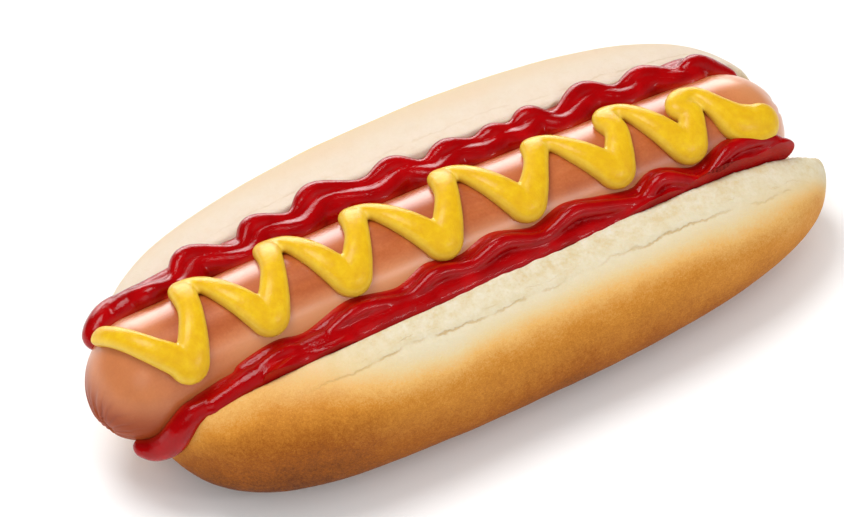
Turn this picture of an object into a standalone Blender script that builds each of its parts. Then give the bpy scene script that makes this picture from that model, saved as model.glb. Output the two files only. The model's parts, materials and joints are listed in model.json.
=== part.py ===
# A hot dog: a soft bun split from the top, a smoked sausage in the slot, a bead of ketchup on
# each side of it and a mustard zigzag on top.
# Metres, +Z up. X runs along the sausage and -Y is the front half of the bun. The origin is
# the middle of the flat patch that the bun rests on.

import math

import bmesh
import bpy
from mathutils import Vector

GAP = 0.0003  # clearance between neighbouring pieces

# Bun
BUN_LENGTH = 0.154
BUN_WAIST_HEIGHT = 0.0155  # height of the widest line
FRONT_HALF_WIDTH = 0.0332
FRONT_HALF_SPLAY = 0.050  # how much wider per metre towards -X
FRONT_CROWN_RISE = 0.016  # uncut crown above the widest line
FRONT_SECTION_POWER = 3.0  # 2 is an ellipse, more is boxier
FRONT_POWER_CHANGE = 6.0  # how much boxier per metre towards -X
FRONT_PLAN_POWER = 3.4
FRONT_PLAN_GAIN = 4.0  # how much squarer per metre, right of the middle
BACK_HALF_WIDTH = 0.0380
BACK_CROWN_RISE = 0.0185
BACK_SECTION_POWER = 3.0
BACK_PLAN_POWER = 2.7
BACK_PLAN_GAIN = 10.0
MIDDLE_PLAN_POWER = 3.0  # spacing of the sections
BUN_SIDE_POWER = 3.4  # how squarely the crown falls off at the ends
BUN_SIDE_POWER_CHANGE = -5.0  # per metre towards +X
BUN_UNDER_GAIN = 14.0  # how much boxier the underside is per metre, right of the middle
BUN_REST_DEPTH = 0.0006  # rounded underside that the flat patch cuts off
BUN_SWELL = 0.0006  # slow unevenness of the loaf
BUN_SKEW = 0.10  # the front half sits this much further along +X, per metre of width
BUN_STATIONS = 30
BUN_SIDES = 40

# Slot
FRONT_OPENING = 0.0173  # lip to middle plane, half way along
FRONT_SPREAD = 0.030  # how much further open per metre towards -X
FRONT_LIP_HEIGHT = 0.0305
BACK_OPENING = 0.0172
BACK_SPREAD = 0.015
BACK_LIP_HEIGHT = 0.0322
SLOT_REACH = 0.050  # length of the cutter's flanks
SLOT_BED_PLAY = 0.0004  # round bed's clearance under the sausage
SLOT_ARC_SIDES = 10
SLOT_OVERRUN = 0.015  # the cutter runs this far past each end of the loaf
SLOT_STEPS = 18

# Sausage
SAUSAGE_LENGTH = 0.1604
SAUSAGE_MIDDLE_X = -0.0069
SAUSAGE_RADIUS = 0.0123
SAUSAGE_TAPER = -0.0035  # radius change per metre towards +X
SAUSAGE_HEIGHT = 0.0240  # axis height, averaged along the length
SAUSAGE_ARCH = 0.0020  # the middle stands this much above the ends
SAUSAGE_BOW = 0.0008  # and this much further back
SAUSAGE_CREST_X = -0.018  # where the arch is highest
SAUSAGE_DROOP_X = -0.072  # left of here the end hangs
SAUSAGE_DROOP = 7.0  # by this much, in metres per square metre
SAUSAGE_DOME_STATIONS = 6
SAUSAGE_BODY_STATIONS = 10
SAUSAGE_SIDES = 28

# Ketchup beads
FRONT_BEAD_START = 0.0705
FRONT_BEAD_STOP = -0.0560
FRONT_BEAD_OFFSET = 0.0138
FRONT_BEAD_HEIGHT = 0.0284
FRONT_BEAD_RADIUS = 0.0038
BACK_BEAD_START = 0.0590
BACK_BEAD_STOP = -0.0600
BACK_BEAD_OFFSET = 0.0144
BACK_BEAD_HEIGHT = 0.0291
BACK_BEAD_RADIUS = 0.0043
BEAD_RIPPLE = 0.0007
BEAD_RIPPLE_PITCH = 0.0125
BEAD_STEP = 0.0028
BEAD_FAN = 0.5  # share of the slot's spread that a bead's middle line follows
BEAD_FATTEN = 0.3  # share of it that the radius follows
BEAD_SWAY = 0.3  # how far the middle line follows a ripple sideways
BEAD_HEAVE = 0.5  # and upwards
BEAD_TIP = 0.03  # radius at the very end, as a share
FRONT_RIPPLE_PHASE = 0.4
BACK_RIPPLE_PHASE = 2.1
# From the end of the front bead over the end of the bun: x, y, z, radius
FRONT_DRIP = [
    (-0.0620, -0.0144, 0.0262, 0.0032),
    (-0.0682, -0.0146, 0.0252, 0.0030),
    (-0.0735, -0.0146, 0.0230, 0.0031),
    (-0.0770, -0.0135, 0.0190, 0.0033),
    (-0.0810, -0.0112, 0.0146, 0.0038),
]
DRIP_STEPS = 3
# Ends of the back bead, lying on the sausage's domes: x, angle round the sausage, radius
BACK_HEAD = [(0.0690, 22.0, 0.0026), (0.0650, 24.0, 0.0036)]
BACK_TAIL = [(-0.0680, 12.0, 0.0046), (-0.0760, 14.0, 0.0040), (-0.0830, 18.0, 0.0032)]
BACK_END_LIFT = 0.0005

# Mustard zigzag: turning points as distance along the sausage, angle round it from +Y
MUSTARD_RADIUS = 0.0027
MUSTARD_POOL = 0.0013  # extra radius where a stroke turns at the front
MUSTARD_PRESS = 0.0006  # how deep the bead is pressed on to the skin
MUSTARD_START = (-0.0815, 62.0)
MUSTARD_TURNS = [
    (-0.0695, 135.0),
    (-0.0623, 60.0),
    (-0.0505, 128.5),
    (-0.0421, 54.0),
    (-0.0312, 126.0),
    (-0.0232, 63.0),
    (-0.0102, 128.5),
    (-0.0021, 60.0),
    (0.0096, 126.0),
    (0.0181, 73.0),
    (0.0304, 128.0),
    (0.0360, 68.0),
    (0.0474, 131.0),
    (0.0516, 84.0),
]
MUSTARD_END = (0.0655, 130.5)
MUSTARD_FRONT = 100.0  # a turn beyond this angle lies on the front, where the bead pools
MUSTARD_END_THINNING = 0.6  # radius of the two ends, as a share
MUSTARD_EASE = 0.65  # how much a stroke slows down at its turns
MUSTARD_POINTS_PER_STROKE = 10
MUSTARD_GRAIN = 0.0007  # size of the grid that melts the crossing strokes together
MUSTARD_KEEP = 0.055  # share of the melted skin's faces that stay


def clear_scene():
    for thing in list(bpy.data.objects):
        bpy.data.objects.remove(thing, do_unlink=True)


def make_material(name, colour, roughness):
    material = bpy.data.materials.new(name)
    material.use_nodes = True
    shader = material.node_tree.nodes["Principled BSDF"]
    shader.inputs["Base Color"].default_value = (*colour, 1.0)
    shader.inputs["Roughness"].default_value = roughness
    shader.inputs["Metallic"].default_value = 0.0
    return material


def link_mesh(name, mesh, material=None):
    thing = bpy.data.objects.new(name, mesh)
    bpy.context.scene.collection.objects.link(thing)
    mesh.shade_smooth()
    if material:
        mesh.materials.append(material)
    return thing


def as_cutter(thing):
    thing.hide_render = True
    thing.display_type = "WIRE"
    return thing


def add_boolean(thing, other, operation):
    modifier = thing.modifiers.new(operation.lower() + "_" + other.name, "BOOLEAN")
    modifier.operation = operation
    modifier.solver = "EXACT"
    modifier.use_self = True
    modifier.object = other


def loft(name, rings):
    """A closed skin over the rings; each end is closed with a fan round its middle."""
    shape = bmesh.new()
    loops = [[shape.verts.new(point) for point in ring] for ring in rings]
    count = len(loops[0])
    for near, far in zip(loops, loops[1:]):
        for i in range(count):
            k = (i + 1) % count
            shape.faces.new((near[i], near[k], far[k]))
            shape.faces.new((near[i], far[k], far[i]))
    for loop in (loops[0], loops[-1]):
        middle = shape.verts.new(sum((vert.co for vert in loop), Vector()) / count)
        for i in range(count):
            shape.faces.new((loop[i], loop[(i + 1) % count], middle))
    bmesh.ops.recalc_face_normals(shape, faces=shape.faces)
    mesh = bpy.data.meshes.new(name)
    shape.to_mesh(mesh)
    shape.free()
    return mesh


def tube(name, path, radii, resolution):
    """A closed mesh tube along the path, with its own radius at every point."""
    curve = bpy.data.curves.new(name, "CURVE")
    curve.dimensions = "3D"
    curve.bevel_depth = 1.0
    curve.bevel_resolution = resolution
    curve.use_fill_caps = True
    line = curve.splines.new("POLY")
    line.points.add(len(path) - 1)
    for point, place, radius in zip(line.points, path, radii):
        point.co = (*place, 1.0)
        point.radius = radius
    guide = bpy.data.objects.new(name, curve)
    bpy.context.scene.collection.objects.link(guide)
    graph = bpy.context.evaluated_depsgraph_get()
    mesh = bpy.data.meshes.new_from_object(guide.evaluated_get(graph))
    bpy.data.objects.remove(guide, do_unlink=True)
    shape = bmesh.new()
    shape.from_mesh(mesh)
    bmesh.ops.remove_doubles(shape, verts=shape.verts, dist=0.000001)
    bmesh.ops.recalc_face_normals(shape, faces=shape.faces)
    shape.to_mesh(mesh)
    shape.free()
    return mesh


def rounded_end(distance, reach):
    """1 along a bead, falling in a quarter circle to nearly 0 at its end."""
    left = min(max(distance / reach, 0.0), 1.0)
    return math.sqrt(1.0 - (1.0 - left) ** 2)


def smooth_path(corners, steps):
    """Points on a Catmull-Rom curve through the corners."""
    ends = [corners[0] * 2 - corners[1]] + corners + [corners[-1] * 2 - corners[-2]]
    path = []
    for a, b, c, d in zip(ends, ends[1:], ends[2:], ends[3:]):
        for i in range(steps):
            t = i / steps
            path.append(
                0.5 * (2 * b + (c - a) * t + (2 * a - 5 * b + 4 * c - d) * t**2)
                + 0.5 * (3 * b - a - 3 * c + d) * t**3
            )
    path.append(corners[-1])
    return path


def power_round(along, power):
    """Height of the curve |x|^power + |y|^power = 1 over x."""
    return max(1.0 - abs(along) ** power, 0.0) ** (1.0 / power)


def sausage_axis(x):
    along = (x - SAUSAGE_CREST_X) / (SAUSAGE_LENGTH / 2)
    rise = 0.4 - min(along * along, 1.5)
    hang = SAUSAGE_DROOP * min(x - SAUSAGE_DROOP_X, 0.0) ** 2
    return Vector((x, SAUSAGE_BOW * rise, SAUSAGE_HEIGHT + SAUSAGE_ARCH * rise - hang))


def sausage_radius(x):
    return SAUSAGE_RADIUS + SAUSAGE_TAPER * x


def sausage_reach(x):
    """Distance from the axis to the skin, also over the domed ends."""
    side = 1 if x > SAUSAGE_MIDDLE_X else -1
    end = SAUSAGE_MIDDLE_X + side * SAUSAGE_LENGTH / 2
    radius = sausage_radius(end)
    over = max(radius - abs(end - x), 0.0)
    return sausage_radius(x) - radius + math.sqrt(max(radius**2 - over**2, 0.0))


def on_sausage(x, angle, lift):
    reach = sausage_reach(x) + lift
    turn = math.radians(angle)
    return sausage_axis(x) + Vector((0, math.cos(turn), math.sin(turn))) * reach


def half_section(x, front):
    """Half width, crown rise, and roundness in section and plan, of one half of the loaf."""
    right = max(x, 0.0)
    if front:
        half_width = FRONT_HALF_WIDTH - FRONT_HALF_SPLAY * x
        power = FRONT_SECTION_POWER - FRONT_POWER_CHANGE * x
        return half_width, FRONT_CROWN_RISE, power, FRONT_PLAN_POWER + FRONT_PLAN_GAIN * right
    plan_power = BACK_PLAN_POWER + BACK_PLAN_GAIN * right
    return BACK_HALF_WIDTH, BACK_CROWN_RISE, BACK_SECTION_POWER, plan_power


def loaf_mesh(name, grow):
    """The uncut loaf, grown all round by a clearance."""
    rings = []
    for i in range(1, BUN_STATIONS):
        turn = math.pi * i / BUN_STATIONS
        scale = 1 / (
            abs(math.cos(turn)) ** MIDDLE_PLAN_POWER + math.sin(turn) ** MIDDLE_PLAN_POWER
        ) ** (1 / MIDDLE_PLAN_POWER)
        along = math.cos(turn) * scale
        x = along * (BUN_LENGTH / 2 + grow)
        lowering = power_round(along, BUN_SIDE_POWER + BUN_SIDE_POWER_CHANGE * x)
        ring = []
        for k in range(BUN_SIDES):
            phi = 2 * math.pi * k / BUN_SIDES
            c, s = math.cos(phi), math.sin(phi)
            half_width, rise, power, plan_power = half_section(x, c < 0)
            if s < 0:
                rise = BUN_WAIST_HEIGHT + BUN_REST_DEPTH
                power += BUN_UNDER_GAIN * max(x, 0.0)
            reach = (abs(c) ** power + abs(s) ** power) ** (-1 / power)
            lump = BUN_SWELL * math.sin(52 * x + 2 * phi) * math.sin(turn)
            narrowing = power_round(along, plan_power)
            y = c * reach * (half_width + grow + lump) * narrowing
            z = BUN_WAIST_HEIGHT + s * reach * (rise + grow + lump) * lowering
            ring.append(Vector((x - BUN_SKEW * y, y, max(z, -grow))))
        rings.append(ring)
    return loft(name, rings)


def slot_section(x, inset):
    """Outline of the slot at x: two straight flanks that meet a round bed under the sausage."""
    middle = sausage_axis(x)
    bed = sausage_radius(x) + SLOT_BED_PLAY
    back = BACK_OPENING - BACK_SPREAD * x - middle.y
    front = FRONT_OPENING - FRONT_SPREAD * x + middle.y
    slopes = []
    for across, lip in ((back, BACK_LIP_HEIGHT), (front, FRONT_LIP_HEIGHT)):
        up = lip - middle.z
        slopes.append(math.atan2(up, across) + math.asin(bed / math.hypot(across, up)))
    right, left = slopes
    start = right - math.pi / 2
    stop = -math.pi / 2 - left
    arc = [start + (stop - start) * i / SLOT_ARC_SIDES for i in range(SLOT_ARC_SIDES + 1)]
    points = [(math.cos(turn) * (bed - inset), math.sin(turn) * (bed - inset)) for turn in arc]
    first, last = points[0], points[-1]
    top_right = (
        first[0] + SLOT_REACH * math.cos(right),
        first[1] + SLOT_REACH * math.sin(right),
    )
    top_left = (last[0] - SLOT_REACH * math.cos(left), last[1] + SLOT_REACH * math.sin(left))
    outline = [top_right] + points + [top_left]
    return [middle + Vector((0, y, z)) for y, z in outline]


def slot_mesh(name, inset):
    reach = BUN_LENGTH / 2 + SLOT_OVERRUN
    step = 2 * reach / SLOT_STEPS
    rings = [slot_section(-reach + step * i, inset) for i in range(SLOT_STEPS + 1)]
    return loft(name, rings)


def sausage_mesh(name, grow):
    """A capsule bent along the sausage's axis, grown all round by a clearance."""
    stations = []
    for side in (-1, 1):
        end = SAUSAGE_MIDDLE_X + side * SAUSAGE_LENGTH / 2
        radius = sausage_radius(end)
        dome = []
        for i in range(1, SAUSAGE_DOME_STATIONS + 1):
            turn = math.pi / 2 * i / SAUSAGE_DOME_STATIONS
            x = end - side * (radius - (radius + grow) * math.cos(turn))
            dome.append((x, (radius + grow) * math.sin(turn)))
        stations.append(dome)
    left, right = stations
    first, last = left[-1][0], right[-1][0]
    body = []
    for i in range(1, SAUSAGE_BODY_STATIONS):
        x = first + (last - first) * i / SAUSAGE_BODY_STATIONS
        body.append((x, sausage_radius(x) + grow))
    rings = []
    for x, radius in left + body + right[::-1]:
        middle = sausage_axis(x)
        ring = []
        for k in range(SAUSAGE_SIDES):
            turn = 2 * math.pi * k / SAUSAGE_SIDES
            ring.append(middle + Vector((0, math.cos(turn), math.sin(turn))) * radius)
        rings.append(ring)
    return loft(name, rings)


def add_bun(material):
    bun = link_mesh("bun", loaf_mesh("bun", 0.0), material)
    slot = as_cutter(link_mesh("slot", slot_mesh("slot", 0.0)))
    add_boolean(bun, slot, "DIFFERENCE")
    return bun


def add_bun_clearance():
    """The bun again, thicker by the gap on every face: what the ketchup is cut with."""
    clearance = as_cutter(link_mesh("bun_clearance", loaf_mesh("bun_clearance", GAP)))
    slot = as_cutter(link_mesh("slot_clearance", slot_mesh("slot_clearance", GAP)))
    add_boolean(clearance, slot, "DIFFERENCE")
    return clearance


def ripple(x, phase):
    """An uneven wave from -1 to 1 along the slot."""
    turn = 2 * math.pi * x / BEAD_RIPPLE_PITCH
    return 0.75 * math.sin(turn + 1.3 * math.sin(0.31 * turn + phase)) + 0.25 * math.sin(1.7 * turn)


def bead_line(first, last, side, offset, height, radius, spread, phase):
    """The stretch of a ketchup bead that lies in the slot, with a radius for every point."""
    count = round(abs(last - first) / BEAD_STEP)
    path, radii = [], []
    for i in range(count + 1):
        x = first + (last - first) * i / count
        wave = ripple(x, phase)
        middle = sausage_axis(x)
        across = side * (offset - BEAD_FAN * spread * x + BEAD_SWAY * BEAD_RIPPLE * wave)
        up = height - SAUSAGE_HEIGHT + middle.z + BEAD_HEAVE * BEAD_RIPPLE * wave
        path.append(Vector((x, across, up)))
        radii.append(radius - BEAD_FATTEN * spread * x + BEAD_RIPPLE * wave)
    return path, radii


def add_ketchup(name, path, radii, bun_clearance, sausage_clearance, material):
    lengths = [0.0]
    for a, b in zip(path, path[1:]):
        lengths.append(lengths[-1] + (b - a).length)
    total = lengths[-1]
    rounded = []
    for length, radius in zip(lengths, radii):
        ends = rounded_end(length, 2 * radius) * rounded_end(total - length, radius)
        rounded.append(radius * max(ends, BEAD_TIP))
    bead = link_mesh(name, tube(name, path, rounded, 4), material)
    add_boolean(bead, bun_clearance, "DIFFERENCE")
    add_boolean(bead, sausage_clearance, "DIFFERENCE")
    return bead


def front_bead():
    """Right end to left end, then over the end of the bun in a drip."""
    path, radii = bead_line(
        FRONT_BEAD_START,
        FRONT_BEAD_STOP,
        -1,
        FRONT_BEAD_OFFSET,
        FRONT_BEAD_HEIGHT,
        FRONT_BEAD_RADIUS,
        FRONT_SPREAD,
        FRONT_RIPPLE_PHASE,
    )
    corners = [path[-1]] + [Vector(point[:3]) for point in FRONT_DRIP]
    widths = [radii[-1]] + [point[3] for point in FRONT_DRIP]
    for i, place in enumerate(smooth_path(corners, DRIP_STEPS)[1:], 1):
        k = min(i // DRIP_STEPS, len(widths) - 2)
        t = i / DRIP_STEPS - k
        path.append(place)
        radii.append(widths[k] * (1 - t) + widths[k + 1] * t)
    return path, radii


def back_bead():
    """Right end to left end; both ends come to rest on the sausage's domes."""
    path, radii = bead_line(
        BACK_BEAD_START,
        BACK_BEAD_STOP,
        1,
        BACK_BEAD_OFFSET,
        BACK_BEAD_HEIGHT,
        BACK_BEAD_RADIUS,
        BACK_SPREAD,
        BACK_RIPPLE_PHASE,
    )
    head = [on_sausage(x, angle, BACK_END_LIFT) for x, angle, _ in BACK_HEAD]
    tail = [on_sausage(x, angle, BACK_END_LIFT) for x, angle, _ in BACK_TAIL]
    head_radii = [radius for _, _, radius in BACK_HEAD]
    tail_radii = [radius for _, _, radius in BACK_TAIL]
    return head + path + tail, head_radii + radii + tail_radii


def mustard_path(turns):
    """Points and radii of the zigzag: fat at the front turns, thin on the strokes."""
    path, radii = [], []
    for i, ((x0, angle0), (x1, angle1)) in enumerate(zip(turns, turns[1:])):
        first_front = angle0 > MUSTARD_FRONT
        second_front = angle1 > MUSTARD_FRONT
        for k in range(MUSTARD_POINTS_PER_STROKE):
            t = k / MUSTARD_POINTS_PER_STROKE
            swing = 0.5 - 0.5 * math.cos(math.pi * t)
            x = x0 + (x1 - x0) * ((1 - MUSTARD_EASE) * t + MUSTARD_EASE * swing)
            front = first_front * (1 - swing) ** 3 + second_front * swing**3
            radius = MUSTARD_RADIUS + MUSTARD_POOL * front
            path.append((x, angle0 + (angle1 - angle0) * swing, radius))
    path.append((*turns[-1], MUSTARD_RADIUS + MUSTARD_POOL))
    places = [on_sausage(x, angle, radius - MUSTARD_PRESS) for x, angle, radius in path]
    return places, [radius for _, _, radius in path]


def add_mustard(sausage_clearance, material):
    path, radii = mustard_path([MUSTARD_START] + MUSTARD_TURNS + [MUSTARD_END])
    radii[0] *= MUSTARD_END_THINNING
    radii[-1] *= MUSTARD_END_THINNING
    bead = link_mesh("mustard", tube("mustard", path, radii, 4), material)
    melt = bead.modifiers.new("melt", "REMESH")
    melt.mode = "VOXEL"
    melt.voxel_size = MUSTARD_GRAIN
    thin = bead.modifiers.new("thin", "DECIMATE")
    thin.ratio = MUSTARD_KEEP
    add_boolean(bead, sausage_clearance, "DIFFERENCE")
    return bead


def main():
    clear_scene()
    crust = make_material("baked_crust", (0.62, 0.36, 0.13), 0.62)
    skin = make_material("sausage_skin", (0.62, 0.22, 0.09), 0.34)
    red = make_material("ketchup_red", (0.45, 0.006, 0.008), 0.16)
    yellow = make_material("mustard_yellow", (0.83, 0.53, 0.02), 0.30)
    add_bun(crust)
    link_mesh("sausage", sausage_mesh("sausage", 0.0), skin)
    bun_clearance = add_bun_clearance()
    sausage_clearance = as_cutter(
        link_mesh("sausage_clearance", sausage_mesh("sausage_clearance", GAP))
    )
    add_ketchup("ketchup_front", *front_bead(), bun_clearance, sausage_clearance, red)
    add_ketchup("ketchup_back", *back_bead(), bun_clearance, sausage_clearance, red)
    add_mustard(sausage_clearance, yellow)


main()
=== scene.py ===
import json
import math

import bpy
import numpy as np
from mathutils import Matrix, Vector, noise
from mathutils.kdtree import KDTree

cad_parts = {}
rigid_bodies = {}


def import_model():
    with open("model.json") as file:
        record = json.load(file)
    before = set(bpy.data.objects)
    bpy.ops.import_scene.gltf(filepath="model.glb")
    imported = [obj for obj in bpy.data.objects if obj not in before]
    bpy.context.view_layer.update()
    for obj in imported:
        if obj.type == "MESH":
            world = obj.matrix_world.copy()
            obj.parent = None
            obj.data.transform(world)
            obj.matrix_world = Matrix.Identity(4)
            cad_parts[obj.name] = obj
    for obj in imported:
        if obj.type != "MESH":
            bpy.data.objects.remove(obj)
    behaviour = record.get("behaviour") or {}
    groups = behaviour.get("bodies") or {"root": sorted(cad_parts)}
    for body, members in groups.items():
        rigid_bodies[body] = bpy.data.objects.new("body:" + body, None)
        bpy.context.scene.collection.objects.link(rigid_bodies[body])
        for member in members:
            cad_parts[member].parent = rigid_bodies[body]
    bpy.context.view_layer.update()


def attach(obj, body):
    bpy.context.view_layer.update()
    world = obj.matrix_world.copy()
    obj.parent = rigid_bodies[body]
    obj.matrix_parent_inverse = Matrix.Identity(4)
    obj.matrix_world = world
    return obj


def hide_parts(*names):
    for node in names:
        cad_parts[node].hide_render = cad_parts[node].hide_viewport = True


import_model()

# all sizes are in metres: x runs along the hot dog, and the near side is at -y


def deselectAll():
    for thing in bpy.context.scene.objects:
        thing.select_set(False)
    bpy.context.view_layer.objects.active = None


def makeActive(thing):
    deselectAll()
    thing.select_set(True)
    bpy.context.view_layer.objects.active = thing


def applyModifiers(thing):
    makeActive(thing)
    for modifier in list(thing.modifiers):
        bpy.ops.object.modifier_apply(modifier=modifier.name)


def turnOutwards(thing):
    makeActive(thing)
    bpy.ops.object.mode_set(mode="EDIT")
    bpy.ops.mesh.select_all(action="SELECT")
    bpy.ops.mesh.normals_make_consistent(inside=False)
    bpy.ops.object.mode_set(mode="OBJECT")


def shadeSmooth(thing):
    makeActive(thing)
    bpy.ops.object.shade_smooth()


def remesh(thing, grain, rounds):
    # one skin round everything in the mesh, with its voxel steps smoothed away
    voxels = thing.modifiers.new("remesh", "REMESH")
    voxels.mode = "VOXEL"
    voxels.voxel_size = grain
    voxels.use_smooth_shade = True
    smooth = thing.modifiers.new("smooth", "SMOOTH")
    smooth.factor = 0.5
    smooth.iterations = rounds
    applyModifiers(thing)


def getPoints(thing):
    points = np.empty(len(thing.data.vertices) * 3)
    thing.data.vertices.foreach_get("co", points)
    return points.reshape(-1, 3)


def setPoints(thing, points):
    thing.data.vertices.foreach_set("co", points.astype(np.float32).ravel())
    thing.data.update()


def getNormals(thing):
    normals = np.empty(len(thing.data.vertices) * 3)
    thing.data.vertices.foreach_get("normal", normals)
    return normals.reshape(-1, 3)


def paint(thing, name, values):
    layer = thing.data.attributes.new(name, "FLOAT", "POINT")
    layer.data.foreach_set("value", np.asarray(values, np.float32))


def lumpy(points, size, seed):
    # smooth noise from -1 to 1 at every point, with lumps of the given size
    scale = 1 / size
    offset = Vector((seed * 7.3, seed * 3.1, seed * 5.7))
    return np.array([noise.noise(Vector(p) * scale + offset) for p in points])


def ease(low, high, values):
    t = np.clip((values - low) / (high - low), 0, 1)
    return t * t * (3 - 2 * t)


def climb(rows, values):
    # each row is a share, and the two values between which it is gained
    return sum(share * ease(low, high, values) for share, low, high in rows)


# shader nodes, written as sums

class Wire:
    # a socket that can be added, multiplied and so on, each time with a Math node
    def __init__(self, socket):
        self.socket = socket

    def maths(self, operation, *values):
        tree = self.socket.id_data
        made = addNode(tree, "ShaderNodeMath", {"operation": operation}, dict(enumerate(values)))
        return Wire(made.outputs[0])

    def __add__(self, other):
        return self.maths("ADD", self, other)

    __radd__ = __add__

    def __sub__(self, other):
        return self.maths("SUBTRACT", self, other)

    def __rsub__(self, other):
        return self.maths("SUBTRACT", other, self)

    def __mul__(self, other):
        return self.maths("MULTIPLY", self, other)

    __rmul__ = __mul__

    def __pow__(self, other):
        return self.maths("POWER", self, other)

    def __abs__(self):
        return self.maths("ABSOLUTE", self)

    def clamp(self):
        return self.maths("MINIMUM", self.maths("MAXIMUM", self, 0.0), 1.0)


def plug(slot, value):
    if isinstance(value, Wire):
        slot.id_data.links.new(value.socket, slot)
    else:
        slot.default_value = value


def shade(red, green, blue):
    # screen colour, 0 to 255, as a linear one
    levels = [value / 255 for value in (red, green, blue)]
    linear = [v / 12.92 if v < 0.04045 else ((v + 0.055) / 1.055) ** 2.4 for v in levels]
    return (*linear, 1.0)


def setStops(ramp, stops):
    while len(ramp.elements) < len(stops):
        ramp.elements.new(0.5)
    for element, (place, tone) in zip(ramp.elements, stops):
        element.position = place
        element.color = shade(*tone)


def addNode(tree, kind, settings, sockets):
    # the settings come first, because they decide which sockets there are
    made = tree.nodes.new(kind)
    for name, value in settings.items():
        if name == "stops":
            setStops(made.color_ramp, value)
        else:
            setattr(made, name, value)
    for name, value in sockets.items():
        plug(made.inputs[name], value)
    return made


class Finish:
    # one material, with short ways to add the nodes it needs
    def __init__(self, name):
        self.material = bpy.data.materials.new(name)
        self.material.use_nodes = True
        self.tree = self.material.node_tree

    def node(self, kind, settings, sockets, output=0):
        return Wire(addNode(self.tree, kind, settings, sockets).outputs[output])

    def place(self):
        return self.node("ShaderNodeTexCoord", {}, {}, "Object")

    def attribute(self, name):
        return self.node("ShaderNodeAttribute", {"attribute_name": name}, {}, "Fac")

    def grain(self, scale, detail, rough=0.5, place=None):
        vector = place or self.place()
        sockets = {"Vector": vector, "Scale": scale, "Detail": detail, "Roughness": rough}
        return self.node("ShaderNodeTexNoise", {}, sockets, "Fac")

    def band(self, value, low, high):
        sockets = {"Value": value, "From Min": low, "From Max": high}
        return self.node("ShaderNodeMapRange", {"interpolation_type": "SMOOTHSTEP"}, sockets)

    def mix(self, mask, first, second):
        # sockets 6, 7 and 2 are the colour ones
        return self.node("ShaderNodeMix", {"data_type": "RGBA"}, {0: mask, 6: first, 7: second}, 2)

    def ramp(self, value, stops):
        return self.node("ShaderNodeValToRGB", {"stops": stops}, {"Fac": value})

    def bump(self, height, strength, distance):
        sockets = {"Height": height, "Strength": strength, "Distance": distance}
        return self.node("ShaderNodeBump", {}, sockets)

    def feed(self, sockets):
        for name, value in sockets.items():
            plug(self.tree.nodes["Principled BSDF"].inputs[name], value)

    def onto(self, thing):
        thing.data.materials.clear()
        thing.data.materials.append(self.material)


# the sausage, whose line everything else follows

sausage = {
    "length": 0.1604, "middleX": -0.0069, "radius": 0.0123, "taper": -0.0035,
    "height": 0.0240, "arch": 0.0020, "bow": 0.0008, "crestX": -0.018,
    "crestShare": 0.4, "mostBend": 1.5,  # of the arch and the bow, above and below their level
    "droopFrom": -0.072, "droop": 7.0,  # the left end hangs, more and more towards its tip
    "sides": 144, "rings": 220, "domeShare": 0.14,  # the share of the rings in either dome
    "swells": [(0.00022, 0.022, 2), (0.00005, 0.006, 3)],  # height, size of its lumps, seed
    # pleats and a dimple where either end is tied off
    "pinchLeft": (-0.0862, -0.0034, 0.0175), "pinchRight": (0.0718, 0.0010, 0.0215),
    "pinchReach": 0.0060, "pinchDepth": 0.0008, "pleats": 13,
    "wander": 1.4, "wanderLumps": (0.006, 4), "flatReach": 0.0012,
    "dimpleReach": 0.0016, "dimpleDepth": 1.6,  # times the depth of a pleat
    # painted light: the near flank is paler as a painted reflection of the front light, the right
    # end is paler as a painted reflection, and the top of the left one is paler as painted light
    # from above, all towards the pale tone
    "paleFrom": (116, 142), "paleTo": (195, 230), "paleTurn": 300,  # degrees, and per metre
    "paleStart": (-0.074, -0.050), "rightPale": (0.85, 0.052, 0.068),
    "leftPale": 0.55, "leftPaleX": (-0.080, -0.066), "leftPaleZ": (0.020, 0.029),
    "tipX": (-0.082, -0.062), "tipZ": (0.021, 0.030), "tipTop": 0.9,
    "skinTones": [(0.34, (158, 68, 22)), (0.50, (178, 90, 38)), (0.66, (198, 112, 60))],
    "paintedLightTone": (216, 146, 92), "tipTone": (140, 56, 18),
    # the crease tone is painted shade in the pleats and the fine creases
    "tiedTone": (166, 74, 34), "creaseShadeTone": (128, 50, 20),
    "creaseReach": (0.0020, 0.0120),
}


def bend(x):
    along = (x - sausage["crestX"]) / (sausage["length"] / 2)
    return sausage["crestShare"] - np.minimum(along * along, sausage["mostBend"])


def axisY(x):
    return sausage["bow"] * bend(x)


def axisZ(x):
    hang = sausage["droop"] * np.minimum(x - sausage["droopFrom"], 0) ** 2
    return sausage["height"] + sausage["arch"] * bend(x) - hang


def bodyRadius(x):
    return sausage["radius"] + sausage["taper"] * x


def skinReach(x):
    # distance from the axis to the skin, over the domed ends too
    side = np.where(x > sausage["middleX"], 1, -1)
    end = sausage["middleX"] + side * sausage["length"] / 2
    radius = bodyRadius(end)
    over = np.maximum(radius - np.abs(end - x), 0)
    return bodyRadius(x) - radius + np.sqrt(np.maximum(radius**2 - over**2, 0))


def onSkin(x, degrees, lift):
    reach = skinReach(x) + lift
    turn = math.radians(degrees)
    return Vector((x, axisY(x) + math.cos(turn) * reach, axisZ(x) + math.sin(turn) * reach))


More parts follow.
